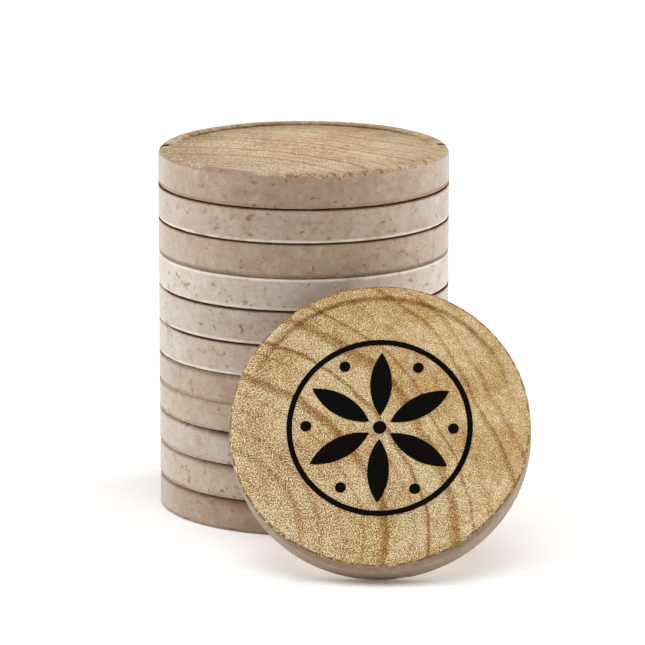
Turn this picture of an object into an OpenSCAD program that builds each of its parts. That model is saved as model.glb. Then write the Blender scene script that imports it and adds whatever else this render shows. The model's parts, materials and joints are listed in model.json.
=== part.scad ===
// A set of round wooden game tokens: a straight stack, and one more token that leans on its front.
// Each token is a pressed-fibre core between two thin wood faces with a raised rim.
// The frame's origin is the middle of the set's footprint on the table, with +Z up and the front at -Y.

/* [Token] */
// Diameter of a token
token_d = 25; // [18:0.5:50]
// Nominal thickness of a token, over its rims
token_t = 2.85; // [2:0.05:6]
// Thickness of a wood face
face_t = 0.3; // [0.15:0.05:0.6]
// Width of the raised rim, up to its inner edge
rim_w = 0.95; // [0.5:0.05:3]
// Depth of the recess inside the rim
recess_depth = 0.25; // [0.1:0.05:0.5]
// Width of the slope from the rim down to the recess
slope_w = 0.4; // [0.1:0.05:1]
// Radius of the rounded edges
edge_round = 0.4; // [0.1:0.05:0.7]

/* [Stack] */
// Number of tokens in the stack
stack_n = 11; // [2:1:16]
// How much thicker each token of the stack is than the nominal, from the bottom up
thickness_extras = [0, 0.1, 0, -0.4, -0.25, 0, 0.15, -0.1, 0.2, 0.1, 0.05]; // [-0.5:0.05:0.5]

/* [Leaning token] */
// How far the leaning token's face leans back from upright, in degrees
lean_back = 33.5; // [10:0.5:60]
// How far its face turns to the right of straight ahead, in degrees
lean_turn = -4; // [-30:1:30]
// How far to the right of the stack's axis it stands
lean_side = 6.4; // [-10:0.1:10]
// Clear gap between it and the stack
lean_gap = 0.15; // [0.05:0.05:1]

/* [Print] */
// Bare width between the print and the edge of the recess
print_margin = 3.45; // [1:0.05:5]
// Thickness of the ink
ink_t = 0.05; // [0.02:0.01:0.1]
// Width of the line round the print
line_w = 0.45; // [0.2:0.05:1]
// Clear gap between the line and the petals
petal_gap = 0.7; // [0.2:0.1:2]
// Number of petals
petal_n = 6; // [3:1:9]
// Width of a petal at its middle
petal_w = 1.8; // [0.4:0.1:3]
// Diameter of the spot in the middle
spot_d = 1.1; // [0.4:0.1:3]
// Clear gap between the spot and the petals
spot_gap = 0.45; // [0.2:0.05:1]
// Diameter of the dots between the petals
dot_d = 0.9; // [0.3:0.1:2]

/* [Hidden] */
$fn = 96;
token_r = token_d / 2;
rim_r = token_r - rim_w;
recess_r = rim_r - slope_w;
edge_r = min(edge_round, 0.9 * rim_w);
// Steps in the arc of a rounded edge, on a wood face and on the core
edge_steps = 6;
core_steps = 2;
// Angle up the rounded edge, from the wall, where the core ends and the wood face begins
seam_a = face_t < edge_r ? asin(1 - face_t / edge_r) : 0;
// Angle between the points where the leaning token is tried against the stack
touch_step = 2;
// Rings of such points on the leaning token's back
touch_rings = 12;

print_r = recess_r - print_margin;
petal_out = print_r - line_w - petal_gap;
petal_in = spot_d / 2 + spot_gap;
dot_ring = petal_out - dot_d / 2;

fibre_colour = "#d6c5ae";
wood_colour = "#be9961";
ink_colour = "#171513";

function stack_name(i) = str("token_", i < 9 ? "0" : "", i + 1);
function thickness(i) = token_t + thickness_extras[i % len(thickness_extras)];
function base(i) = i == 0 ? 0 : base(i - 1) + thickness(i - 1);
stack_h = base(stack_n);

// Points of a rounded edge, from the sharp corner that it takes off: the core's part and the wood face's part
function edge_point(a) = edge_r * [cos(a) - 1, sin(a) - 1];
core_edge = seam_a > 0 ? [for (k = [0 : core_steps]) edge_point(seam_a * k / core_steps)] : [[0, -face_t]];
face_edge = concat(
    face_t > edge_r ? [[0, -face_t]] : [],
    [for (k = [0 : edge_steps]) edge_point(seam_a + (90 - seam_a) * k / edge_steps)]
);

// The same points on a token, as radius and height, on its upper edge and on its lower one
function above(points, t) = [for (p = points) [token_r + p.x, t + p.y]];
function below(points) = [for (p = points) [token_r + p.x, -p.y]];
function reversed(points) = [for (k = [len(points) - 1 : -1 : 0]) points[k]];
function outer_edge(t) = concat(below(core_edge), below(face_edge), above(core_edge, t), above(face_edge, t));

// Where the leaning token lies: its own Z is the way its face looks, its own Y points up along its face
face_way = [sin(lean_turn) * cos(lean_back), -cos(lean_turn) * cos(lean_back), sin(lean_back)];
side_way = [cos(lean_turn), sin(lean_turn), 0];
up_way = [-sin(lean_turn) * sin(lean_back), cos(lean_turn) * sin(lean_back), cos(lean_back)];

// How far the leaning token reaches from the middle of its back along a unit vector
function lean_reach(way) =
    let (along = face_way * way, across = sqrt(max(0, 1 - along * along)))
        max([for (p = outer_edge(token_t)) p.y * along + p.x * across]);

// The back of the leaning token as points, from the middle of its back: its edge, and rings on its face
back_rings = concat(
    [for (p = outer_edge(token_t)) if (p.y < token_t / 2) p],
    [for (k = [1 : touch_rings]) [(token_r - edge_r) * k / touch_rings, 0]]
);
back_points = [
    for (p = back_rings, a = [0 : touch_step : 359])
        p.x * (cos(a) * side_way + sin(a) * up_way) + p.y * face_way
];

// It stands on the table, as near to the stack as its gap lets it
clear_r = token_r + lean_gap;
lean_z = lean_reach([0, 0, -1]);
lean_y = min([
    for (p = back_points)
        let (x = p.x + lean_side)
            if (abs(x) < clear_r && p.z + lean_z < stack_h + lean_gap) -sqrt(clear_r * clear_r - x * x) - p.y
]);

// Middle of the set's footprint, seen from the stack's axis
mid_x = (max(token_r, lean_side + lean_reach([1, 0, 0])) + min(-token_r, lean_side - lean_reach([-1, 0, 0]))) / 2;
mid_y = (max(token_r, lean_y + lean_reach([0, 1, 0])) + min(-token_r, lean_y - lean_reach([0, -1, 0]))) / 2;

module in_stack(i) {
    translate([-mid_x, -mid_y, base(i)]) children();
}

module leaning() {
    translate([lean_side - mid_x, lean_y - mid_y, lean_z])
        rotate([90 - lean_back, 0, lean_turn])
            children();
}

// The fibre disc, with the recesses that the faces are pressed into
module token_core(t) {
    sunk = face_t + recess_depth;
    color(fibre_colour) rotate_extrude() polygon(concat(
        [[0, sunk], [recess_r, sunk], [rim_r, face_t]],
        reversed(below(core_edge)),
        above(core_edge, t),
        [[rim_r, t - face_t], [recess_r, t - sunk], [0, t - sunk]]
    ));
}

// The wood face on top: a thin sheet that follows the rim, the slope and the recess
module token_upper_face(t) {
    floor_z = t - recess_depth;
    color(wood_colour) rotate_extrude() polygon(concat(
        [[0, floor_z - face_t], [recess_r, floor_z - face_t], [rim_r, t - face_t]],
        above(face_edge, t),
        [[rim_r, t], [recess_r, floor_z], [0, floor_z]]
    ));
}

// The wood face below is the same sheet, turned over
module token_lower_face(t) {
    translate([0, 0, t]) rotate([180, 0, 0]) token_upper_face(t);
}

// A petal is where two circles cross, with its tips on the middle line
module petal() {
    half_l = (petal_out - petal_in) / 2;
    half_w = petal_w / 2;
    arc_r = (half_l * half_l + half_w * half_w) / petal_w;
    intersection_for (side = [-1, 1]) {
        translate([petal_in + half_l, side * (arc_r - half_w)]) circle(arc_r);
    }
}

// The ink on the leaning token: petals round a spot, dots between them and a line round them
module leaning_token_print() {
    color(ink_colour) translate([0, 0, token_t - recess_depth]) linear_extrude(ink_t) {
        circle(d = spot_d);
        for (k = [0 : petal_n - 1]) {
            rotate(90 + 360 * k / petal_n) petal();
            rotate(90 + 360 * (k + 0.5) / petal_n) translate([dot_ring, 0]) circle(d = dot_d);
        }
        difference() {
            circle(print_r);
            circle(print_r - line_w);
        }
    }
}

for (i = [0 : stack_n - 1]) {
    in_stack(i) token_core(thickness(i));
    in_stack(i) token_upper_face(thickness(i));
    in_stack(i) token_lower_face(thickness(i));
}
leaning() token_core(token_t);  // leaning_token_core
leaning() token_upper_face(token_t);  // leaning_token_front_face
leaning() token_lower_face(token_t);  // leaning_token_back_face
leaning() leaning_token_print();
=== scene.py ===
"""Looks of a set of round wooden game tokens: a stack of eleven, and one more that leans on its front."""

import json
import logging
import math
from dataclasses import dataclass, field
from enum import Enum
from functools import cached_property
from typing import Any

import bpy
from mathutils import Euler, Matrix, Vector, noise

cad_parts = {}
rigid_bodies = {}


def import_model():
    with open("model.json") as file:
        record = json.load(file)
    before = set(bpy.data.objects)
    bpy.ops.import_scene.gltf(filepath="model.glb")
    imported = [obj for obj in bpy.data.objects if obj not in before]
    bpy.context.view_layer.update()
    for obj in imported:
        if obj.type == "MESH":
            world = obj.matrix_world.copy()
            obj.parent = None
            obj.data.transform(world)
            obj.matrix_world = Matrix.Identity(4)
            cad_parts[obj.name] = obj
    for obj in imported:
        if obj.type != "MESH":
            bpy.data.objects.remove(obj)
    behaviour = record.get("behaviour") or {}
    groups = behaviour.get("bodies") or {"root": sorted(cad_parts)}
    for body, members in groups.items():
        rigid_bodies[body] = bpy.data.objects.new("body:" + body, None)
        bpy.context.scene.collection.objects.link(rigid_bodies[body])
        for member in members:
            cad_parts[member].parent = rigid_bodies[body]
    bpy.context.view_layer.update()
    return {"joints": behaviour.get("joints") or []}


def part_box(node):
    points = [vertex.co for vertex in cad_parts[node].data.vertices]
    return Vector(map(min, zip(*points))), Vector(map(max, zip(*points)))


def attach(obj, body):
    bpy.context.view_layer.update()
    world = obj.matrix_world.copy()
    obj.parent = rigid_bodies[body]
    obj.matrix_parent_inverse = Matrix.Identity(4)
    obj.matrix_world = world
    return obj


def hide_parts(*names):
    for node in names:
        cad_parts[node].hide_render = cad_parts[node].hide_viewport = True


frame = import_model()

MM = 0.001
# Points that lie closer than this, in metres, are merged
MERGE = 1e-6
LOG = logging.getLogger("tokens")

Point = tuple[float, float]
Colour = tuple[float, float, float, float]


def linear(code: str) -> Colour:
    """Turns a hex colour into a linear one.

    Args:
        code: Six hex digits after a hash sign.

    Returns:
        Red, green, blue and an alpha of one.
    """
    straight_end, slope, offset, power = 0.04045, 12.92, 0.055, 2.4
    parts = [int(code[k : k + 2], 16) / 255 for k in (1, 3, 5)]
    curved = [((c + offset) / (1 + offset)) ** power for c in parts]
    return (*(c / slope if c <= straight_end else bent for c, bent in zip(parts, curved)), 1.0)


class Value:
    """A number that changes over a surface. Arithmetic on it adds Math nodes."""

    def __init__(self, paint: "Paint", socket: bpy.types.NodeSocket) -> None:
        """Wraps an output socket of a material's node."""
        self.paint = paint
        self.socket = socket

    def maths(self, operation: str, *terms: Any) -> "Value":
        """Adds a Math node.

        Args:
            operation: The node's operation.
            *terms: Its inputs, as values or numbers.

        Returns:
            The node's result.
        """
        node = self.paint.node("ShaderNodeMath", {"operation": operation}, dict(enumerate(terms)))
        return Value(self.paint, node.outputs[0])

    def __add__(self, other: Any) -> "Value":
        """Adds another value or number."""
        return self.maths("ADD", self, other)

    def __sub__(self, other: Any) -> "Value":
        """Takes another value or number away."""
        return self.maths("SUBTRACT", self, other)

    def __rsub__(self, other: Any) -> "Value":
        """Takes this value away from a number."""
        return self.maths("SUBTRACT", other, self)

    def __mul__(self, other: Any) -> "Value":
        """Multiplies by another value or number."""
        return self.maths("MULTIPLY", self, other)

    def __truediv__(self, other: Any) -> "Value":
        """Divides by another value or number."""
        return self.maths("DIVIDE", self, other)

    def __rtruediv__(self, other: Any) -> "Value":
        """Divides a number by this value."""
        return self.maths("DIVIDE", other, self)

    __radd__ = __add__
    __rmul__ = __mul__

    def size(self) -> "Value":
        """Drops the sign."""
        return self.maths("ABSOLUTE", self)

    def fraction(self) -> "Value":
        """Keeps what is left after whole numbers are taken away."""
        return self.maths("FRACT", self)

    def whole(self) -> "Value":
        """Keeps the whole number below."""
        return self.maths("FLOOR", self)

    def above(self, limit: Any) -> "Value":
        """One where this is over the limit, and nought elsewhere."""
        return self.maths("GREATER_THAN", self, limit)

    def rise(self, start: Any, end: Any) -> "Value":
        """Goes softly from nought to one.

        Args:
            start: Where the result is nought.
            end: Where the result is one, above start.

        Returns:
            The eased share between start and end.
        """
        settings = {"interpolation_type": "SMOOTHSTEP"}
        sockets = {"Value": self, "From Min": start, "From Max": end}
        node = self.paint.node("ShaderNodeMapRange", settings, sockets)
        return Value(self.paint, node.outputs[0])

    def fall(self, start: Any, end: Any) -> "Value":
        """Goes softly from one to nought between start and end."""
        return 1 - self.rise(start, end)


class Paint:
    """The nodes of one material."""

    # A dull dark film: painted shade in seams and grooves, and the cracks
    shade_and_crack_finish = {"Base Color": linear("#4a2a18"), "Roughness": 1.0, "Specular IOR Level": 0.0}

    def __init__(self, name: str) -> None:
        """Starts an empty material.

        Args:
            name: The material's name.
        """
        self.material = bpy.data.materials.new(name)
        self.material.use_nodes = True
        self.tree = self.material.node_tree
        self.tree.nodes.clear()

    def node(self, kind: str, settings: dict | None = None, sockets: dict | None = None) -> bpy.types.Node:
        """Adds a node.

        Args:
            kind: The node's type.
            settings: Properties of the node, set first.
            sockets: Values or links of its inputs, by name or number.

        Returns:
            The new node.
        """
        node = self.tree.nodes.new(kind)
        for name, setting in (settings or {}).items():
            setattr(node, name, setting)
        for name, value in (sockets or {}).items():
            socket = value.socket if isinstance(value, Value) else value
            if isinstance(socket, bpy.types.NodeSocket):
                self.tree.links.new(socket, node.inputs[name])
            else:
                node.inputs[name].default_value = socket
        return node

    def place(self, place: Matrix, seed: float) -> "Grain":
        """Finds where a point lies on a token.

        Args:
            place: The token's own frame.
            seed: Shift of the pattern, so that tokens differ.

        Returns:
            The coordinates on the token, in millimetres.
        """
        coordinates = self.node("ShaderNodeTexCoord").outputs["Object"]
        sockets = {"Vector": coordinates, "Location": place.translation, "Rotation": place.to_euler()}
        sockets["Scale"] = (MM, MM, MM)
        mapping = self.node("ShaderNodeMapping", {"vector_type": "TEXTURE"}, sockets)
        return Grain(self, mapping.outputs[0], seed)

    def vector(self, operation: str, *terms: Any) -> bpy.types.NodeSocket:
        """Adds a Vector Math node and returns its vector."""
        node = self.node("ShaderNodeVectorMath", {"operation": operation}, dict(enumerate(terms)))
        return node.outputs[0]

    def mix(self, share: Any, low: Any, high: Any, blend: str = "MIX") -> bpy.types.NodeSocket:
        """Mixes two colours.

        Args:
            share: How much of the second colour shows.
            low: The first colour.
            high: The second colour.
            blend: How the second is laid over the first.

        Returns:
            The mixed colour.
        """
        first, second, result = 6, 7, 2
        settings = {"data_type": "RGBA", "blend_type": blend}
        node = self.node("ShaderNodeMix", settings, {0: share, first: low, second: high})
        return node.outputs[result]

    def surface(
        self,
        colour: Any,
        rough: Any,
        height: Value,
        relief: float,
        constants: dict,
        shade_and_cracks: Value | None = None,
    ) -> bpy.types.Material:
        """Closes the material with its shader.

        Args:
            colour: Base colour.
            rough: Roughness.
            height: Relief, from nought to one.
            relief: Depth of that relief, in millimetres.
            constants: Other inputs that are the same all over.
            shade_and_cracks: How much a dull dark film covers, if there is one: painted shade in seams and
                grooves, and cracks.

        Returns:
            The finished material.
        """
        bump = self.node("ShaderNodeBump", None, {"Distance": relief * MM, "Height": height}).outputs[0]
        sockets = {"Base Color": colour, "Roughness": rough, "Normal": bump, **constants}
        shader = self.node("ShaderNodeBsdfPrincipled", None, sockets)
        if shade_and_cracks:
            film = self.node("ShaderNodeBsdfPrincipled", None, {"Normal": bump, **self.shade_and_crack_finish})
            sockets = {0: shade_and_cracks, 1: shader.outputs[0], 2: film.outputs[0]}
            shader = self.node("ShaderNodeMixShader", None, sockets)
        self.node("ShaderNodeOutputMaterial", None, {"Surface": shader.outputs[0]})
        return self.material


class Grain:
    """Coordinates on a token in millimetres, and patterns that are drawn with them."""

    olive = linear("#b6bb9f")
    rose = linear("#d6a6a3")
    seed_step = Vector((31.7, -17.3, 53.9))

    def __init__(self, paint: Paint, socket: bpy.types.NodeSocket, seed: float) -> None:
        """Splits the coordinates and shifts a copy of them by the seed.

        Args:
            paint: The material.
            socket: The coordinates, in millimetres.
            seed: Shift of the pattern, so that tokens differ.
        """
        self.paint = paint
        split = paint.node("ShaderNodeSeparateXYZ", None, {0: socket})
        self.x, self.y, self.z = (Value(paint, out) for out in split.outputs)
        self.flat = paint.node("ShaderNodeCombineXYZ", None, {0: self.x, 1: self.y}).outputs[0]
        self.shift = self.seed_step * seed
        self.solid = paint.vector("ADD", socket, self.shift)
        self.across = paint.vector("ADD", self.flat, self.shift)

    def distance(self, centre: Point) -> Value:
        """Measures on the token's face.

        Args:
            centre: The point to measure from.

        Returns:
            The distance, in millimetres.
        """
        sockets = {0: self.flat, 1: (*centre, 0)}
        node = self.paint.node("ShaderNodeVectorMath", {"operation": "DISTANCE"}, sockets)
        return Value(self.paint, node.outputs["Value"])

    @cached_property
    def radius(self) -> Value:
        """Distance from the token's axis, in millimetres."""
        return self.distance((0, 0))

    def toward(self, angle: float) -> Value:
        """How far a point lies from the axis toward an angle, in degrees."""
        return self.x * math.cos(math.radians(angle)) + self.y * math.sin(math.radians(angle))

    def stretched(self, scale: tuple[float, float, float]) -> bpy.types.NodeSocket:
        """The coordinates through the token, scaled along each axis."""
        return self.paint.vector("MULTIPLY", self.solid, scale)

    def clouds(
        self, where: bpy.types.NodeSocket, per_mm: float, detail: float = 2.0, crisp: float = 0.5
    ) -> Value:
        """Draws soft noise.

        Args:
            where: Coordinates.
            per_mm: Lumps in a millimetre.
            detail: Finer layers in the noise.
            crisp: How strong the finer layers are.

        Returns:
            A value about a half.
        """
        sockets = {"Vector": where, "Scale": per_mm, "Detail": detail, "Roughness": crisp}
        return Value(self.paint, self.paint.node("ShaderNodeTexNoise", None, sockets).outputs[0])

    def along(self, value: Value, scale: float) -> Value:
        """Draws soft noise along one value.

        Args:
            value: The value.
            scale: Lumps for each one that it grows by.

        Returns:
            A value about a half.
        """
        sockets = {"W": value + self.shift.x, "Scale": scale, "Detail": 1.0}
        node = self.paint.node("ShaderNodeTexNoise", {"noise_dimensions": "1D"}, sockets)
        return Value(self.paint, node.outputs[0])

    def warped(self, where: bpy.types.NodeSocket, per_mm: float, reach: float) -> bpy.types.NodeSocket:
        """Shifts coordinates unevenly.

        Args:
            where: Coordinates.
            per_mm: Lumps of the shift in a millimetre.
            reach: Width of the shift, in millimetres.

        Returns:
            The shifted coordinates.
        """
        swirl = self.paint.node("ShaderNodeTexNoise", None, {"Vector": where, "Scale": per_mm, "Detail": 1.0})
        settings = {"operation": "MULTIPLY_ADD"}
        sockets = {0: swirl.outputs["Color"], 1: (reach,) * 3, 2: where}
        return self.paint.node("ShaderNodeVectorMath", settings, sockets).outputs[0]

    def tinted(self, colour: bpy.types.NodeSocket, per_mm: float, share: float) -> bpy.types.NodeSocket:
        """Lets a colour stray toward olive and rose.

        Args:
            colour: The colour.
            per_mm: Lumps of each hue in a millimetre.
            share: How far it strays.

        Returns:
            The livelier colour.
        """
        hue = self.clouds(self.solid, per_mm, 2).rise(0.35, 0.65)
        return self.paint.mix(share, colour, self.paint.mix(hue, self.olive, self.rose), "OVERLAY")

    def flecks(self, where: bpy.types.NodeSocket, per_mm: float, share: float, size: float) -> Value:
        """Scatters soft spots.

        Args:
            where: Coordinates.
            per_mm: Places for a spot in a millimetre.
            share: Share of those places that hold one.
            size: Radius of a large spot, in millimetres.

        Returns:
            One on a spot and nought elsewhere.
        """
        cells = self.paint.node("ShaderNodeTexVoronoi", None, {"Vector": where, "Scale": per_mm})
        lots = self.paint.node("ShaderNodeSeparateColor", None, {0: cells.outputs["Color"]})
        chance, weight = (Value(self.paint, lots.outputs[k]) for k in (0, 1))
        radius = (weight * 0.7 + 0.3) * (size * per_mm)
        spot = 1 - Value(self.paint, cells.outputs["Distance"]) / radius
        return spot.rise(0, 0.8) * chance.above(1 - share) * (weight * 0.6 + 0.4)


class EdgeForm(Enum):
    """Radius of a token's edge, in millimetres, by how worn it is."""

    SHARP = 0.1
    CRISP = 0.2
    EASED = 0.3
    ROUND = 0.42
    WORN = 0.6


class WoodTone(Enum):
    """Colours of a token's wood: its dark lines, its two body tones and its lightest grain."""

    HONEY = ("#785022", "#cba763", "#d2b781", "#fbf2d4")
    BUFF = ("#785636", "#c0a477", "#cbb893", "#f0e7cf")


@dataclass(frozen=True)
class SeamShade:
    """Painted shade along an edge, where it meets the next token. Fade is the length over which it comes in
    from the left, where more light falls.

    Widths and lengths are in millimetres.
    """

    width: float
    strength: float
    fade: float = 0.0


@dataclass(frozen=True)
class WornPatch:
    """A stretch of the edge where the wood is rubbed further back.

    Angles are in degrees and the depth in millimetres. Soft is the share of the spread over which the wood
    gives way.
    """

    angle: float
    spread: float
    depth: float
    soft: float = 0.7


@dataclass(frozen=True)
class TokenLook:
    """What sets one token apart from the others. Widths are in millimetres, and angles in degrees."""

    tone: str
    turn: float
    upper: EdgeForm
    lower: EdgeForm
    # Painted shade along the upper and lower edges, where the token meets the next one
    above: SeamShade | None = None
    below: SeamShade | None = None
    # Painted highlights: pale lines just inside the upper and lower edges
    highlight_above: float = 0.0
    highlight_below: float = 0.0
    sheen: float = 0.7
    wood: WoodTone = WoodTone.BUFF
    speckle: float = 1.0
    ring_pitch: float = 1.75
    ring_start: float = 8.0
    ring_strength: float = 1.0
    # Painted shadow at the foot of the groove, on the far side
    far_shadow: float = 0.0
    char: float = 0.6
    # Painted shade that darkens the face toward its rim
    rim_shade: float = 0.0
    bound: float = 11.7
    ragged: float = 0.2
    worn: tuple[WornPatch, ...] = ()
    cracks: tuple[float, ...] = ()


STACK_LOOKS = [
    # The bottom token's tone is a little darker: painted shade for the shadow of the leaning token
    TokenLook("#96816d", 40, EdgeForm.WORN, EdgeForm.EASED, above=SeamShade(1.0, 0.6, fade=7)),
    TokenLook("#ac9e8c", 115, EdgeForm.WORN, EdgeForm.SHARP, above=SeamShade(0.9, 0.62, fade=7)),
    TokenLook("#aea294", 200, EdgeForm.ROUND, EdgeForm.SHARP, above=SeamShade(0.85, 0.95, fade=7)),
    TokenLook("#ab9d8c", 290, EdgeForm.SHARP, EdgeForm.SHARP, above=SeamShade(0.18, 0.15)),
    TokenLook("#a4927e", 20, EdgeForm.EASED, EdgeForm.SHARP, above=SeamShade(0.48, 0.36)),
    TokenLook(
        "#b6aa9e", 150, EdgeForm.CRISP, EdgeForm.SHARP, above=SeamShade(0.27, 1.0, fade=2.2), highlight_below=0.7
    ),
    TokenLook(
        "#b5aa9e", 75, EdgeForm.CRISP, EdgeForm.SHARP, above=SeamShade(0.28, 1.0, fade=1.3), highlight_below=0.7
    ),
    TokenLook("#c3b9ae", 310, EdgeForm.CRISP, EdgeForm.SHARP, highlight_above=0.7, highlight_below=0.5),
    TokenLook(
        "#a79480", 240, EdgeForm.CRISP, EdgeForm.CRISP, above=SeamShade(0.22, 1.0), below=SeamShade(0.45, 0.32)
    ),
    TokenLook("#ae9f8f", 180, EdgeForm.CRISP, EdgeForm.SHARP, above=SeamShade(0.27, 1.0), highlight_below=0.7),
    TokenLook(
        "#a28e7a", 0, EdgeForm.WORN, EdgeForm.SHARP, speckle=1.05, ring_pitch=1.2, ring_start=12,
        ring_strength=1.15, far_shadow=0.75, char=0.15, rim_shade=0.27, bound=12.4, ragged=0.12,
        worn=(WornPatch(-140, 60, 0.12), WornPatch(-122, 13, 1.4, soft=0.6)), cracks=(177, 5),
    ),
]
LEANING_LOOK = TokenLook(
    "#938371", 0, EdgeForm.ROUND, EdgeForm.ROUND, sheen=0.1, wood=WoodTone.HONEY, speckle=1.3,
    ring_start=5, ring_strength=0.9, char=1.0, bound=12.42, ragged=0.08, worn=(WornPatch(-80, 65, 0.3),),
)
LEANING_SEED = 20
# Middle of the growth rings, in millimetres from a token's axis
STACK_RINGS = (-11.5, -19.6)
LEANING_RINGS = (-15.5, -10.9)


@dataclass(frozen=True)
class PressedFibre:
    """Pale pressed wood fibre with brown flecks, as the edge of a token shows it.

    Sizes are in millimetres, and a value per millimetre counts the lumps of a pattern.
    """

    look: TokenLook
    thickness: float
    radius: float
    relief: float = 0.03
    soft_width: float = 0.6
    shaded_rim: Point = (0.6, 0.3)
    highlight_line: tuple[float, ...] = (0.03, 0.1, 0.14, 0.36)
    mottle_per_mm: float = 0.5
    grit_per_mm: float = 2.2
    fine_per_mm: float = 8.5
    hue_per_mm: float = 1.3
    sparse_per_mm: float = 0.7
    smudges_per_mm: float = 1.0
    flecks_per_mm: float = 1.5
    hairs_per_mm: float = 1.1
    bare_per_mm: float = 1.2
    specks_per_mm: float = 0.6
    speck_warps_per_mm: float = 2.0
    speck_share: float = 0.08
    speck_size: float = 0.4
    uneven_per_mm: float = 0.3
    patches_per_mm: float = 0.5
    pores_per_mm: float = 5.5
    dents_per_mm: float = 1.4
    wide: tuple[float, float, float] = (1.3, 1.3, 0.9)
    long: tuple[float, float, float] = (0.8, 0.8, 1.1)
    short: tuple[float, float, float] = (0.85, 0.85, 1.1)
    tint: float = 0.18
    warm_cast: Colour = (0.87, 0.77, 0.63, 1)
    cool_cast: Colour = (1.09, 1.13, 1.18, 1)
    amber: Colour = linear("#9c7852")
    brown: Colour = linear("#87623e")
    dark: Colour = linear("#553a28")
    pale: Colour = linear("#f4ece2")

    def colour(self, grain: Grain) -> bpy.types.NodeSocket:
        """Draws the fibre, with painted highlights: pale lines just beyond its edges.

        Args:
            grain: Coordinates on the token.

        Returns:
            The base colour.
        """
        colour = self.flecked(grain, self.pulp(grain))
        edges = ((self.look.highlight_above, self.thickness - grain.z), (self.look.highlight_below, grain.z))
        # Painted highlights just beyond the edges
        for rubbed, height in edges:
            if rubbed:
                colour = grain.paint.mix(self.highlight(grain, height) * rubbed, colour, self.pale)
        return colour

    def shade_and_cracks(self, grain: Grain) -> Value | None:
        """Finds the painted shade along the token's edges, where it meets the next token.

        Args:
            grain: Coordinates on the token.

        Returns:
            How much of the fibre they cover, or None where the token has none.
        """
        edges = ((self.look.above, self.thickness - grain.z), (self.look.below, grain.z))
        lines = [self.seam_shadow(grain, height, shade_line) for shade_line, height in edges if shade_line]
        return sum(lines[1:], lines[0]) if lines else None

    def pulp(self, grain: Grain) -> bpy.types.NodeSocket:
        """Draws the even, softly mottled fibre.

        Args:
            grain: Coordinates on the token.

        Returns:
            Its colour.
        """
        base = linear(self.look.tone)
        warm, cool = (
            tuple(min(1, tone * share) for tone, share in zip(base, cast))
            for cast in (self.warm_cast, self.cool_cast)
        )
        mottle = grain.clouds(grain.solid, self.mottle_per_mm, 3, 0.6).rise(0.34, 0.66)
        grit = grain.clouds(grain.solid, self.grit_per_mm, 3, 0.6).rise(0.3, 0.7)
        fine = grain.clouds(grain.solid, self.fine_per_mm, 2, 0.6).rise(0.3, 0.7)
        colour = grain.paint.mix(mottle * 0.45 + grit * 0.35 + fine * 0.2, warm, cool)
        return grain.tinted(colour, self.hue_per_mm, self.tint)

    def flecked(self, grain: Grain, colour: bpy.types.NodeSocket) -> bpy.types.NodeSocket:
        """Scatters amber smudges, brown flecks, fine hairs and dark specks.

        Args:
            grain: Coordinates on the token.
            colour: The colour below them.

        Returns:
            The flecked colour.
        """
        mix = grain.paint.mix
        sparse = grain.clouds(grain.stretched(self.wide), self.sparse_per_mm).rise(0.4, 0.6)
        smudges = grain.clouds(grain.stretched(self.long), self.smudges_per_mm, 2, 0.6).rise(0.55, 0.75)
        flecks = grain.clouds(grain.stretched(self.short), self.flecks_per_mm, 1.5, 0.55).rise(0.58, 0.72)
        hairs = (grain.clouds(grain.solid, self.hairs_per_mm, 1) - 0.5).size().fall(0.004, 0.016)
        bare = grain.clouds(grain.solid, self.bare_per_mm, 3, 0.7).rise(0.45, 0.8)
        ragged = grain.warped(grain.solid, self.speck_warps_per_mm, self.speck_size)
        specks = grain.flecks(ragged, self.specks_per_mm, self.speck_share, self.speck_size)
        colour = mix(bare * 0.14, colour, self.pale)
        colour = mix(smudges * 0.6, colour, self.amber)
        colour = mix(flecks * (sparse * 0.65 + 0.35), colour, self.brown)
        colour = mix(hairs * sparse * 0.2, colour, self.brown)
        return mix(specks * 0.55, colour, self.dark)

    def seam_shadow(self, grain: Grain, height: Value, shade_line: SeamShade) -> Value:
        """Paints shade on an edge where it meets the next token.

        Args:
            grain: Coordinates on the token.
            height: Distance from that edge, in millimetres.
            shade_line: The painted shade.

        Returns:
            Its strength on the line and nought elsewhere.
        """
        reach = grain.clouds(grain.across, self.uneven_per_mm, 2) * 0.5 + 0.75
        start, end = (self.radius - depth for depth in self.shaded_rim)
        strength = grain.radius.rise(start, end) * shade_line.strength
        # The painted shade is weaker toward the left, where more light falls
        if shade_line.fade:
            come = grain.toward(-self.look.turn).rise(-self.radius, shade_line.fade - self.radius)
            reach = reach * (come * 0.6 + 0.4)
            strength = strength * (come * 0.65 + 0.35)
        crisp = 0.05 if shade_line.width > self.soft_width else 0.35
        return (height / (reach * shade_line.width)).fall(crisp, 1.1) * strength

    def highlight(self, grain: Grain, height: Value) -> Value:
        """Paints a highlight: a pale line just beyond an edge, where the rounded edge catches light.

        Args:
            grain: Coordinates on the token.
            height: Distance from that edge, in millimetres.

        Returns:
            One on the line and nought elsewhere.
        """
        patchy = grain.clouds(grain.across, self.patches_per_mm, 2).rise(0.12, 0.5)
        start, full, wane, end = self.highlight_line
        return height.rise(start, full) * height.fall(wane, end) * patchy

    def material(self, name: str, place: Matrix, seed: float) -> bpy.types.Material:
        """Makes the material of a token's core.

        Args:
            name: The material's name.
            place: The token's own frame.
            seed: Shift of the pattern.

        Returns:
            The material.
        """
        paint = Paint(name)
        grain = paint.place(place, seed)
        pores = grain.clouds(grain.solid, self.pores_per_mm, 2, 0.6)
        height = pores * 0.6 + grain.clouds(grain.solid, self.dents_per_mm) * 0.4
        rough = height * 0.2 + 0.55
        sheen = self.look.sheen
        gloss = 0.15 + sheen / 2
        constants = {"Specular IOR Level": gloss, "Sheen Weight": sheen, "Sheen Roughness": 0.5}
        return paint.surface(self.colour(grain), rough, height, self.relief, constants, self.shade_and_cracks(grain))


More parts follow.
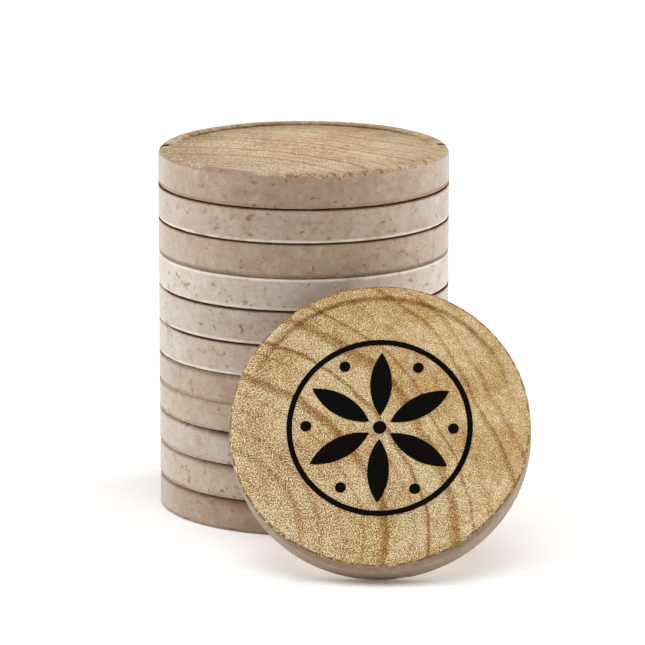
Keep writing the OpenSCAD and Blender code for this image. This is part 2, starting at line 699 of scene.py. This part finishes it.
@dataclass(frozen=True)
class WoodFace:
    """Golden end-grain wood with growth rings, rubbed down to the fibre at its edge.

    Sizes are in millimetres, angles in degrees, and a value per millimetre counts the lumps of a pattern.
    """

    look: TokenLook
    ring_centre: Point
    groove: Point
    relief: float = 0.05
    bends_per_mm: float = 0.1
    bend_reach: float = 2.6
    waves_per_mm: float = 0.8
    wave_reach: float = 0.35
    pitch_changes_per_mm: float = 0.23
    strength_changes_per_ring: float = 0.77
    uneven_per_mm: float = 1.2
    gaps_per_mm: float = 1.4
    ragged_per_mm: float = 0.45
    near_fade: float = 14
    far_fade: Point = (23, 31)
    far_band: float = 3
    groove_blur: Point = (0.12, 0.08)
    shadow_foot: tuple[float, float, float] = (0.2, 0.05, 0.15)
    crack_width: Point = (0.2, 0.5)
    crack_start: Point = (11.4, 11.7)
    rim_shade_start: Point = (4, 11)
    char_line: Point = (-0.24, -0.06)
    blur: float = 0.05
    lively_side: float = 218
    lively_reach: float = 14
    speckle_per_mm: float = 8.5
    clump_per_mm: float = 2.2
    blotch_per_mm: float = 0.22
    hue_per_mm: float = 6.0
    tint: float = 0.42
    # Tone of the painted shade in the groove and before its far side, laid over the wood
    hollow: Colour = linear("#b3987a")

    def rings(self, grain: Grain) -> Value:
        """Draws the growth rings.

        Args:
            grain: Coordinates on the token.

        Returns:
            One on a dark ring and nought between.
        """
        bends = grain.clouds(grain.across, self.bends_per_mm, 2) * self.bend_reach
        waves = grain.clouds(grain.across, self.waves_per_mm, 2) * self.wave_reach
        reach = grain.distance(self.ring_centre) + (bends + waves)
        count = reach / self.look.ring_pitch + grain.along(reach, self.pitch_changes_per_mm) * 1.4
        phase = count.fraction()
        line = phase.rise(0.55, 0.8) * phase.fall(0.83, 0.98)
        change = grain.along(count.whole(), self.strength_changes_per_ring)
        strength = change.rise(0.35, 0.65) * 0.75 + 0.25
        near = reach.rise(self.look.ring_start, self.look.ring_start + self.near_fade) * 0.8 + 0.2
        far = reach.fall(*self.far_fade) * 0.4 + 0.6
        return line * strength * near * far * self.look.ring_strength

    def groove_shade(self, grain: Grain) -> Value:
        """Paints shade in the groove inside the rim, mostly on its upper side, where less light falls.

        Args:
            grain: Coordinates on the token.

        Returns:
            One in the groove and nought elsewhere.
        """
        inner, outer = self.groove
        middle = (inner + outer) / 2
        inward, outward = self.groove_blur
        line = grain.radius.rise(inner - inward, middle) * grain.radius.fall(middle, outer + outward)
        side = (grain.y / grain.radius).rise(0.0, 0.95)
        uneven = grain.clouds(grain.across, self.uneven_per_mm, 2, 0.6).rise(0.25, 0.6) * 0.45 + 0.55
        return line * side * uneven

    def shade(self, grain: Grain) -> Value:
        """Finds the painted shade in the groove, and on a token with a far shadow, the painted shade on the
        wood before its far side.

        Args:
            grain: Coordinates on the token.

        Returns:
            The share of the hollow's tone.
        """
        shade = self.groove_shade(grain)
        if not self.look.far_shadow:
            return shade
        inner, outer = self.groove
        band = grain.radius.rise(inner - self.far_band, inner) * grain.radius.fall(inner, outer)
        return shade * 0.35 + band * (grain.y / grain.radius).rise(0.1, 0.9) * 0.45

    def far_groove_shadow(self, grain: Grain) -> Value:
        """Paints shadow at the foot of the groove on the far side, with gaps.

        Args:
            grain: Coordinates on the token.

        Returns:
            How much of the wood the painted shadow covers.
        """
        inner, outer = self.groove
        before, flat, short = self.shadow_foot
        foot = grain.radius.rise(inner - before, inner) * grain.radius.fall(inner + flat, outer - short)
        gaps = grain.clouds(grain.across, self.gaps_per_mm, 3, 0.65).rise(0.3, 0.6) * 0.7 + 0.3
        return foot * gaps * (grain.y / grain.radius).rise(0.1, 0.8) * self.look.far_shadow

    def crack(self, grain: Grain, angle: float) -> Value:
        """Splits the rim along a line from the axis toward an angle, in degrees."""
        across = grain.toward(angle + 90).size()
        return across.fall(*self.crack_width) * grain.toward(angle).rise(*self.crack_start)

    def film(self, grain: Grain, rubbed: Value, fibre: PressedFibre) -> Value | None:
        """Gathers the cracks, the painted far-groove shadow and the painted seam shade on the rubbed edge.

        Args:
            grain: Coordinates on the token.
            rubbed: One where the fibre shows and nought elsewhere.
            fibre: What shows where the edge is rubbed.

        Returns:
            How much a dull dark film covers, or None where the token has none.
        """
        marks = [self.crack(grain, angle) for angle in self.look.cracks]
        if self.look.far_shadow:
            marks.append(self.far_groove_shadow(grain))
        shade_and_cracks = fibre.shade_and_cracks(grain)
        if shade_and_cracks:
            marks.append(shade_and_cracks * rubbed)
        return sum(marks[1:], marks[0]) if marks else None

    def bound(self, grain: Grain) -> Value:
        """Finds how far out the wood reaches before it is rubbed off.

        Args:
            grain: Coordinates on the token.

        Returns:
            Radius of the wood's edge, in millimetres.
        """
        look = self.look
        sway = grain.clouds(grain.across, self.ragged_per_mm, 3, 0.65)
        edge = sway * (look.ragged * 2) + (look.bound - look.ragged)
        for patch in look.worn:
            start, end = (math.cos(math.radians(patch.spread * k)) for k in (1, 1 - patch.soft))
            edge = edge - (grain.toward(patch.angle) / grain.radius).rise(start, end) * patch.depth
        return edge

    def material(self, name: str, place: Matrix, seed: float, fibre: PressedFibre) -> bpy.types.Material:
        """Makes the material of one face.

        Args:
            name: The material's name.
            place: The token's own frame.
            seed: Shift of the pattern.
            fibre: What shows where the edge is rubbed.

        Returns:
            The material.
        """
        paint = Paint(name)
        grain = paint.place(place, seed)
        rings = self.rings(grain)
        speckle = grain.clouds(grain.across, self.speckle_per_mm, 1, 0.7).rise(0.33, 0.67)
        side = grain.toward(self.lively_side).rise(-self.lively_reach, self.lively_reach)
        lively = (side * 0.7 + 0.65) * self.look.speckle
        clumps = grain.clouds(grain.across, self.clump_per_mm, 2, 0.6).rise(0.3, 0.7)
        blotch = grain.clouds(grain.across, self.blotch_per_mm, 2).rise(0.35, 0.65)
        brown, golden, straw, cream = (linear(tone) for tone in self.look.wood.value)
        light = (speckle - 0.5) * lively * 0.66 + clumps * 0.22 + blotch * 0.12 - rings * 0.5 + 0.33
        body = paint.mix(blotch, golden, straw)
        colour = paint.mix(light.rise(-0.14, 0.5), brown, body)
        colour = paint.mix(light.rise(0.43, 1.02), colour, cream)
        colour = grain.tinted(colour, self.hue_per_mm, self.tint)
        # Painted shade that darkens the face toward its rim
        if self.look.rim_shade:
            colour = paint.mix(grain.radius.rise(*self.rim_shade_start) * self.look.rim_shade, colour, brown)
        # Painted shade in the groove, mostly on its upper side
        colour = paint.mix(self.shade(grain), colour, self.hollow, "MULTIPLY")
        edge = grain.radius - self.bound(grain)
        charred = edge.rise(*self.char_line) * clumps.rise(0.1, 0.6)
        colour = paint.mix(charred * self.look.char, colour, brown)
        rubbed = edge.rise(-self.blur, self.blur)
        colour = paint.mix(rubbed, colour, fibre.colour(grain))
        height = speckle * 0.5 + clumps * 0.3 - rings * 0.2
        rough = speckle * 0.15 + 0.5
        constants = {"Specular IOR Level": 0.25, "Sheen Weight": 0.06, "Sheen Roughness": 0.5}
        film = self.film(grain, rubbed, fibre)
        return paint.surface(colour, rough, height, self.relief, constants, film)


@dataclass(frozen=True)
class BlackInk:
    """Matt black ink that follows the grain below it a little."""

    relief: float = 0.012
    grain_per_mm: float = 7.0
    black: Colour = linear("#080706")
    worn: Colour = linear("#16120f")

    def material(self, name: str, place: Matrix) -> bpy.types.Material:
        """Makes the material of the print.

        Args:
            name: The material's name.
            place: The token's own frame.

        Returns:
            The material.
        """
        paint = Paint(name)
        grain = paint.place(place, 0)
        speckle = grain.clouds(grain.across, self.grain_per_mm, 2, 0.7).rise(0.45, 0.75)
        colour = paint.mix(speckle * 0.5, self.black, self.worn)
        rough = speckle * 0.1 + 0.8
        return paint.surface(colour, rough, speckle, self.relief, {"Specular IOR Level": 0.06})


@dataclass(frozen=True)
class PaleFloor:
    """A plain white floor that glows a little: painted light that lifts the soft shadows on it to white."""

    relief: float = 0.01
    clouds_per_mm: float = 0.003
    glow: float = 0.08
    dull: Colour = linear("#fcfcfc")
    bright: Colour = linear("#ffffff")

    def material(self, name: str) -> bpy.types.Material:
        """Makes the material of the floor.

        Args:
            name: The material's name.

        Returns:
            The material.
        """
        paint = Paint(name)
        grain = paint.place(Matrix.Identity(4), 0)
        tone = grain.clouds(grain.solid, self.clouds_per_mm)
        colour = paint.mix(tone, self.dull, self.bright)
        rough = tone * 0.1 + 0.7
        constants = {"Specular IOR Level": 0.1, "Emission Color": self.bright, "Emission Strength": self.glow}
        return paint.surface(colour, rough, tone, self.relief, constants)


def arc(centre: Point, radius: float, start: float, end: float, steps: int) -> list[Point]:
    """Points of an arc.

    Args:
        centre: Middle of the arc.
        radius: Radius of the arc.
        start: Angle of the first point, in degrees.
        end: Angle of the last point, in degrees.
        steps: Number of parts between the points.

    Returns:
        The points, from start to end.
    """
    angles = [math.radians(start + (end - start) * k / steps) for k in range(steps + 1)]
    return [(centre[0] + radius * math.cos(a), centre[1] + radius * math.sin(a)) for a in angles]


def trace(line: list[Vector]) -> None:
    """Draws a line in edit mode, from one vertex, where nothing else is selected.

    Args:
        line: Places along it, in millimetres.
    """
    bpy.ops.mesh.primitive_circle_add(vertices=3, radius=MM, enter_editmode=True, location=(0, 0, 0))
    bpy.ops.mesh.merge(type="CENTER")
    bpy.ops.transform.translate(value=line[0] * MM)
    for start, end in zip(line, line[1:]):
        bpy.ops.mesh.extrude_vertices_move(TRANSFORM_OT_translate={"value": (end - start) * MM})


def lay(piece: bpy.types.Object, place: Matrix) -> None:
    """Puts a piece in its place, which goes into its mesh.

    Args:
        piece: The piece.
        place: Where it goes, from the origin.
    """
    bpy.ops.object.select_all(action="DESELECT")
    piece.select_set(True)
    bpy.context.view_layer.objects.active = piece
    piece.matrix_world = place
    bpy.ops.object.transform_apply(location=True, rotation=True, scale=True)


def dress(piece: bpy.types.Object, body: str, side: str, material: bpy.types.Material) -> None:
    """Gives a piece its finish, and lets it ride in the place of a node.

    Args:
        piece: The piece.
        body: The body that it rides on.
        side: Which node of that body it stands for.
        material: Its material.
    """
    piece.data.materials.append(material)
    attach(piece, body)
    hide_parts(f"{body}_{side}")


class Lathe:
    """Turns outlines of radius and height, in millimetres, into closed pieces, each shape once."""

    steps = 288

    def __init__(self) -> None:
        """Starts with no blanks."""
        self.blanks: dict[tuple, bpy.types.Object] = {}

    def copy(self, name: str, key: tuple, outline: list[Point]) -> bpy.types.Object:
        """Hands out a copy of a turned shape.

        Args:
            name: The copy's name.
            key: What tells the shape from others.
            outline: Points from the axis and back to it.

        Returns:
            A copy with its own mesh.
        """
        if key not in self.blanks:
            self.blanks[key] = self.turn(outline)
        copy = self.blanks[key].copy()
        copy.data = copy.data.copy()
        copy.name = copy.data.name = name
        bpy.context.scene.collection.objects.link(copy)
        return copy

    def turn(self, outline: list[Point]) -> bpy.types.Object:
        """Draws an outline and spins it round the axis.

        Args:
            outline: Points from the axis and back to it.

        Returns:
            The turned blank.
        """
        bpy.ops.object.select_all(action="DESELECT")
        trace([Vector((reach, 0, height)) for reach, height in outline])
        bpy.ops.mesh.select_all(action="SELECT")
        bpy.ops.mesh.spin(steps=self.steps, angle=2 * math.pi, center=(0, 0, 0), axis=(0, 0, 1))
        bpy.ops.mesh.select_all(action="SELECT")
        bpy.ops.mesh.remove_doubles(threshold=MERGE)
        bpy.ops.mesh.normals_make_consistent(inside=False)
        bpy.ops.object.mode_set(mode="OBJECT")
        return bpy.context.object

    def clear(self) -> None:
        """Takes the blanks away."""
        for blank in self.blanks.values():
            bpy.data.meshes.remove(blank.data)
        self.blanks.clear()


@dataclass
class TokenShape:
    """Sizes that every token shares, in millimetres, and the steps of its round stretches."""

    radius: float
    thickness: float = 2.85
    face: float = 0.3
    rim: float = 0.95
    slope: float = 0.4
    recess: float = 0.25
    fillet: float = 0.12
    floor_rings: tuple[float, ...] = (0.1, 1.6, 4.4, 7.6)
    edge_steps: int = 8
    fillet_steps: int = 4
    seam_steps: int = 3
    wall_steps: int = 6
    lathe: Lathe = field(default_factory=Lathe)

    @property
    def rim_radius(self) -> float:
        """Radius of the rim's inner edge."""
        return self.radius - self.rim

    @property
    def floor_radius(self) -> float:
        """Radius of the recess's floor."""
        return self.rim_radius - self.slope

    def seam_angle(self, edge: float) -> float:
        """Angle up a rounded edge where the core ends and the face begins."""
        return math.degrees(math.asin(1 - self.face / edge)) if edge > self.face else 0.0

    def face_outline(self, edge: float) -> list[Point]:
        """Outline of a face, with its rim's top at height nought.

        Args:
            edge: Radius of its outer edge.

        Returns:
            Points from the axis below to the axis above.
        """
        under = -self.recess - self.face
        below = [(0, under), (self.floor_radius, under), (self.rim_radius, -self.face)]
        seam = self.seam_angle(edge)
        wall = [] if edge > self.face else [(self.radius, -self.face)]
        rounded = arc((self.radius - edge, -edge), edge, seam, 90, self.edge_steps)
        pitch = math.degrees(math.atan2(self.recess, self.slope))
        reach = self.fillet * math.tan(math.radians(pitch / 2))
        brow_centre = (self.rim_radius + reach, -self.fillet)
        brow = arc(brow_centre, self.fillet, 90, 90 + pitch, self.fillet_steps)
        foot = self.floor_radius - reach
        hollow_centre = (foot, self.fillet - self.recess)
        hollow = arc(hollow_centre, self.fillet, pitch - 90, -90, self.fillet_steps)
        rings = [(foot - step, -self.recess) for step in self.floor_rings]
        return below + wall + rounded + brow + hollow + rings + [(0, -self.recess)]

    def core_outline(self, thickness: float, upper: float, lower: float) -> list[Point]:
        """Outline of a core, with the token's lower rim at height nought.

        Args:
            thickness: The token's thickness over its rims.
            upper: Radius of its upper edge.
            lower: Radius of its lower edge.

        Returns:
            Points from the axis below to the axis above.
        """
        sunk = self.face + self.recess
        bottom = [(0, sunk), (self.floor_radius, sunk), (self.rim_radius, self.face)]
        top = [(reach, thickness - height) for reach, height in reversed(bottom)]
        rise = self.seam_angle(upper)
        drop = self.seam_angle(lower)
        low, high = [(self.radius, self.face)], [(self.radius, thickness - self.face)]
        if drop:
            low = arc((self.radius - lower, lower), lower, -drop, 0, self.seam_steps)
        if rise:
            high = arc((self.radius - upper, thickness - upper), upper, 0, rise, self.seam_steps)
        start, end = low[-1][1], high[0][1]
        step = (end - start) / self.wall_steps
        wall = [(self.radius, start + step * k) for k in range(1, self.wall_steps)]
        return bottom + low + wall + high + top


@dataclass
class Wear:
    """Uneven wear of a token's outer edge, in millimetres, always inwards."""

    sway: float = 0.03
    nick: float = 0.16
    zone: float = 0.7
    sways_per_mm: float = 0.35
    nicks_per_mm: float = 1.2
    nick_start: float = 0.25
    seed_step: tuple[float, float, float] = (13.1, 7.7, 3.3)

    def at(self, point: Vector, seed: float, near: float) -> float:
        """How far the edge is worn back at a point.

        Args:
            point: Place on the token, in millimetres.
            seed: Shift of the pattern.
            near: One at the token's edges and nought on its wall.

        Returns:
            The distance to the axis that is lost.
        """
        place = point + Vector(self.seed_step) * seed
        sway = 0.5 + 0.5 * noise.noise(place * self.sways_per_mm)
        nick = max(0.0, noise.noise(place * self.nicks_per_mm) - self.nick_start)
        return self.sway * sway + self.nick * nick * near

    def apply(self, piece: bpy.types.Object, shape: TokenShape, thickness: float, seed: float) -> None:
        """Wears a piece that stands in its token's own frame.

        Args:
            piece: The piece, with its mesh in metres.
            shape: The sizes that tokens share.
            thickness: The token's thickness, in millimetres.
            seed: Shift of the pattern.
        """
        for vertex in piece.data.vertices:
            point = vertex.co / MM
            reach = math.hypot(point.x, point.y)
            if reach < shape.radius - self.zone:
                continue
            edge = min(point.z, thickness - point.z)
            near = max(0.0, 1 - edge / self.zone)
            depth = min(1.0, (reach - shape.radius + self.zone) / (self.zone / 2))
            lost = self.at(point, seed, near) * depth
            vertex.co.x *= 1 - lost / reach
            vertex.co.y *= 1 - lost / reach


@dataclass
class Token:
    """One token: a fibre core between two wood faces."""

    body: str
    label: str
    sides: tuple[str, str]
    place: Matrix
    thickness: float
    look: TokenLook
    seed: float
    shape: TokenShape
    ring_centre: Point
    under_seed: float = 0.37
    smooth_angle: float = 40
    wear: Wear = field(default_factory=Wear)

    def build(self) -> list[bpy.types.Object]:
        """Models and dresses the three pieces.

        Returns:
            The core, and the faces above and below.
        """
        fibre = PressedFibre(self.look, self.thickness, self.shape.radius)
        wood = WoodFace(self.look, self.ring_centre, (self.shape.floor_radius, self.shape.rim_radius))
        core = self.core()
        material = fibre.material(f"fibre_{self.label}", self.place, self.seed)
        self.settle(core, "core", material)
        pieces = [core]
        for upper, side in zip((True, False), self.sides):
            piece = self.face(upper, side)
            seed = self.seed if upper else self.seed + self.under_seed
            material = wood.material(f"wood_{self.label}_{side}", self.place, seed, fibre)
            self.settle(piece, side, material)
            pieces.append(piece)
        return pieces

    def core(self) -> bpy.types.Object:
        """Copies a core and stretches its wall to the token's thickness.

        Returns:
            The core in the token's own frame.
        """
        upper, lower = self.look.upper, self.look.lower
        outline = self.shape.core_outline(self.shape.thickness, upper.value, lower.value)
        piece = self.shape.lathe.copy(f"{self.label}_fibre_core", ("core", upper, lower), outline)
        for vertex in piece.data.vertices:
            if vertex.co.z > self.shape.thickness / 2 * MM:
                vertex.co.z += (self.thickness - self.shape.thickness) * MM
        return piece

    def face(self, upper: bool, side: str) -> bpy.types.Object:
        """Copies a face and lays it on the core.

        Args:
            upper: True for the face on top.
            side: The face's name.

        Returns:
            The face in the token's own frame.
        """
        edge = self.look.upper if upper else self.look.lower
        outline = self.shape.face_outline(edge.value)
        piece = self.shape.lathe.copy(f"{self.label}_wood_{side}", ("face", edge), outline)
        lifted = Matrix.Translation((0, 0, self.thickness * MM))
        lay(piece, lifted if upper else Matrix.Rotation(math.pi, 4, "X"))
        return piece

    def settle(self, piece: bpy.types.Object, side: str, material: bpy.types.Material) -> None:
        """Wears a piece, puts it in its place and gives it its finish.

        Args:
            piece: The piece, in the token's own frame.
            side: Which piece of the token it is.
            material: Its material.
        """
        self.wear.apply(piece, self.shape, self.thickness, self.seed)
        lay(piece, self.place)
        bpy.ops.object.shade_smooth_by_angle(angle=math.radians(self.smooth_angle))
        dress(piece, self.body, side, material)


@dataclass
class RosettePrint:
    """The black print in a token's recess: petals round a spot, with dots and a line round them.

    Sizes are in millimetres.
    """

    token: Token
    margin: float = 3.45
    line: float = 0.45
    petals: int = 6
    petal_width: float = 1.8
    petal_gap: float = 0.7
    petal_steps: int = 24
    spot: float = 1.1
    spot_gap: float = 0.45
    dot: float = 0.9
    ink: float = 0.05
    fewest_sides: int = 24
    sides_per_mm: int = 8

    @property
    def reach(self) -> float:
        """Radius of the whole print."""
        return self.token.shape.floor_radius - self.margin

    @property
    def petal_ends(self) -> Point:
        """Where a petal starts and ends, from the middle."""
        return self.spot / 2 + self.spot_gap, self.reach - self.line - self.petal_gap

    def build(self) -> bpy.types.Object:
        """Draws the print flat, gives it the ink's thickness and lays it in the recess.

        Returns:
            The print.
        """
        bpy.ops.object.select_all(action="DESELECT")
        self.disc(self.reach, (0, 0), enter=True)
        bpy.ops.mesh.inset(thickness=self.line * MM)
        bpy.ops.mesh.delete(type="FACE")
        self.disc(self.spot / 2, (0, 0))
        self.petal()
        self.spread()
        between = math.radians(90 + 180 / self.petals)
        ring = self.petal_ends[1] - self.dot / 2
        self.disc(self.dot / 2, (ring * math.cos(between), ring * math.sin(between)))
        self.spread()
        bpy.ops.object.mode_set(mode="OBJECT")
        piece = bpy.context.object
        piece.name = piece.data.name = f"{self.token.label}_ink_print"
        thick = piece.modifiers.new("thickness", "SOLIDIFY")
        thick.thickness = self.ink * MM
        thick.offset = 1
        bpy.ops.object.modifier_apply(modifier=thick.name)
        floor = self.token.thickness - self.token.shape.recess
        lay(piece, self.token.place @ Matrix.Translation((0, 0, floor * MM)))
        material = BlackInk().material("black_ink", self.token.place)
        dress(piece, self.token.body, "print", material)
        return piece

    def disc(self, radius: float, centre: Point, enter: bool = False) -> None:
        """Adds a flat disc.

        Args:
            radius: Its radius.
            centre: Its middle.
            enter: True for the disc that the print begins with.
        """
        if not enter:
            bpy.ops.mesh.select_all(action="DESELECT")
        bpy.ops.mesh.primitive_circle_add(
            vertices=self.fewest_sides + self.sides_per_mm * math.ceil(radius * 2),
            radius=radius * MM,
            fill_type="NGON",
            enter_editmode=enter,
            location=(centre[0] * MM, centre[1] * MM, 0),
        )

    def petal(self) -> None:
        """Draws the petal that points up: it lies where two circles would cross."""
        start, end = self.petal_ends
        half, width = (end - start) / 2, self.petal_width / 2
        radius = (half * half + width * width) / self.petal_width
        sweep = math.degrees(math.asin(half / radius))
        right = arc((width - radius, start + half), radius, -sweep, sweep, self.petal_steps)
        left = arc((radius - width, start + half), radius, 180 - sweep, 180 + sweep, self.petal_steps)
        outline = right + left[1:]
        bpy.ops.mesh.select_all(action="DESELECT")
        trace([Vector((*point, 0)) for point in outline])
        bpy.ops.mesh.select_linked()
        bpy.ops.mesh.remove_doubles(threshold=MERGE)
        bpy.ops.mesh.edge_face_add()
        bpy.ops.mesh.flip_normals()

    def spread(self) -> None:
        """Copies what is selected round the middle, once for each petal."""
        turn = 2 * math.pi / self.petals
        for _ in range(self.petals - 1):
            bpy.ops.mesh.duplicate()
            bpy.ops.transform.rotate(value=turn, orient_axis="Z", center_override=(0, 0, 0))


@dataclass(frozen=True)
class Panel:
    """A soft lamp: where it hangs and its width and height, in metres, and its power, in watts."""

    name: str
    place: tuple[float, float, float]
    size: Point
    power: float


@dataclass
class Studio:
    """The floor, the soft lights and the camera.

    The floor's size is in metres, the camera's place is in millimetres, and its angles are in degrees.
    """

    panels: tuple[Panel, ...] = (
        Panel("overhead_panel", (0, -0.3, 1.0), (0.9, 0.9), 7.0),
        Panel("left_panel", (-1.0, 0.25, 0.35), (0.7, 0.7), 8.5),
        Panel("right_panel", (1.0, 0.25, 0.35), (0.7, 0.7), 8.5),
        Panel("back_panel", (0, 1.3, 0.5), (1.6, 0.9), 2.0),
    )
    room_light: float = 0.2
    floor_size: float = 8
    lens: float = 281.5
    camera_place: tuple[float, float, float] = (-3.15, -417.14, 113.9)
    nearest: float = 10
    pitch: float = 13.01
    yaw: float = 0.214

    def build(self) -> None:
        """Sets the whole studio up."""
        bpy.context.scene.view_settings.view_transform = "Standard"
        self.floor()
        self.world()
        for panel in self.panels:
            self.lamp(panel)
        self.camera()

    def floor(self) -> None:
        """Lays a plain pale floor."""
        bpy.ops.object.select_all(action="DESELECT")
        bpy.ops.mesh.primitive_plane_add(size=self.floor_size, location=(0, 0, 0))
        floor = bpy.context.object
        floor.name = "studio_floor"
        floor.data.materials.append(PaleFloor().material("pale_floor"))

    def world(self) -> None:
        """Fills the room with even light."""
        world = bpy.data.worlds.new("soft_room")
        bpy.context.scene.world = world
        world.use_nodes = True
        background = world.node_tree.nodes["Background"]
        background.inputs["Color"].default_value = (1, 1, 1, 1)
        background.inputs["Strength"].default_value = self.room_light

    def lamp(self, panel: Panel) -> None:
        """Hangs a soft panel that faces the tokens.

        Args:
            panel: The panel's place, size and power.
        """
        bpy.ops.object.light_add(type="AREA", location=panel.place)
        lamp = bpy.context.object
        lamp.name = panel.name
        lamp.rotation_euler = (-Vector(panel.place)).to_track_quat("-Z", "Y").to_euler()
        lamp.data.shape = "RECTANGLE"
        lamp.data.size, lamp.data.size_y = panel.size
        lamp.data.energy = panel.power
        lamp.visible_camera = False

    def camera(self) -> None:
        """Puts the camera where the photo was taken from."""
        bpy.ops.object.camera_add(location=Vector(self.camera_place) * MM)
        camera = bpy.context.object
        camera.rotation_euler = Euler((math.radians(90 - self.pitch), 0, math.radians(-self.yaw)))
        camera.data.lens = self.lens
        camera.data.clip_start = self.nearest * MM
        bpy.context.scene.camera = camera


def stack_tokens(shape: TokenShape) -> list[Token]:
    """Finds the tokens of the stack in the frame.

    Args:
        shape: The sizes that tokens share.

    Returns:
        The tokens, from the bottom up.
    """
    tokens = []
    sides = ("upper_face", "lower_face")
    for number, look in enumerate(STACK_LOOKS, start=1):
        body, label = f"token_{number:02d}", f"stacked_{number:02d}"
        low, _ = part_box(f"{body}_lower_face")
        lowest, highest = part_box(f"{body}_upper_face")
        middle = (lowest + highest) / 2
        turn = Matrix.Rotation(math.radians(look.turn), 4, "Z")
        place = Matrix.Translation((middle.x, middle.y, low.z)) @ turn
        thickness = (highest.z - low.z) / MM
        tokens.append(Token(body, label, sides, place, thickness, look, number, shape, STACK_RINGS))
    return tokens


def leaning_token(shape: TokenShape, thickness: float) -> Token:
    """Finds the token that leans on the stack.

    Args:
        shape: The sizes that tokens share.
        thickness: Its thickness, in millimetres.

    Returns:
        The token.
    """
    tip = next(joint for joint in frame["joints"] if joint["child"] == "leaning_token")
    side = Vector(tip["axis"])
    tilt = math.radians(90 - tip["range_deg"][1])
    turn = Euler((tilt, 0, math.atan2(side.y, side.x))).to_matrix().to_4x4()
    lowest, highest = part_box("leaning_token_core")
    middle = Matrix.Translation((lowest + highest) / 2)
    place = middle @ turn @ Matrix.Translation((0, 0, -thickness / 2 * MM))
    sides = ("front_face", "back_face")
    look, seed = LEANING_LOOK, LEANING_SEED
    return Token("leaning_token", "leaning", sides, place, thickness, look, seed, shape, LEANING_RINGS)


def main() -> None:
    """Builds the tokens, the print and the studio."""
    logging.basicConfig(level=logging.INFO, format="%(message)s")
    lowest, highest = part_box("token_01_core")
    shape = TokenShape(radius=(highest.x - lowest.x) / 2 / MM)
    tokens = stack_tokens(shape)
    leaning = leaning_token(shape, tokens[0].thickness)
    pieces = [piece for token in (*tokens, leaning) for piece in token.build()]
    shape.lathe.clear()
    pieces.append(RosettePrint(leaning).build())
    for piece in pieces:
        LOG.info("%s is built, with %d faces", piece.name, len(piece.data.polygons))
    Studio().build()


if __name__ == "__main__":
    main()
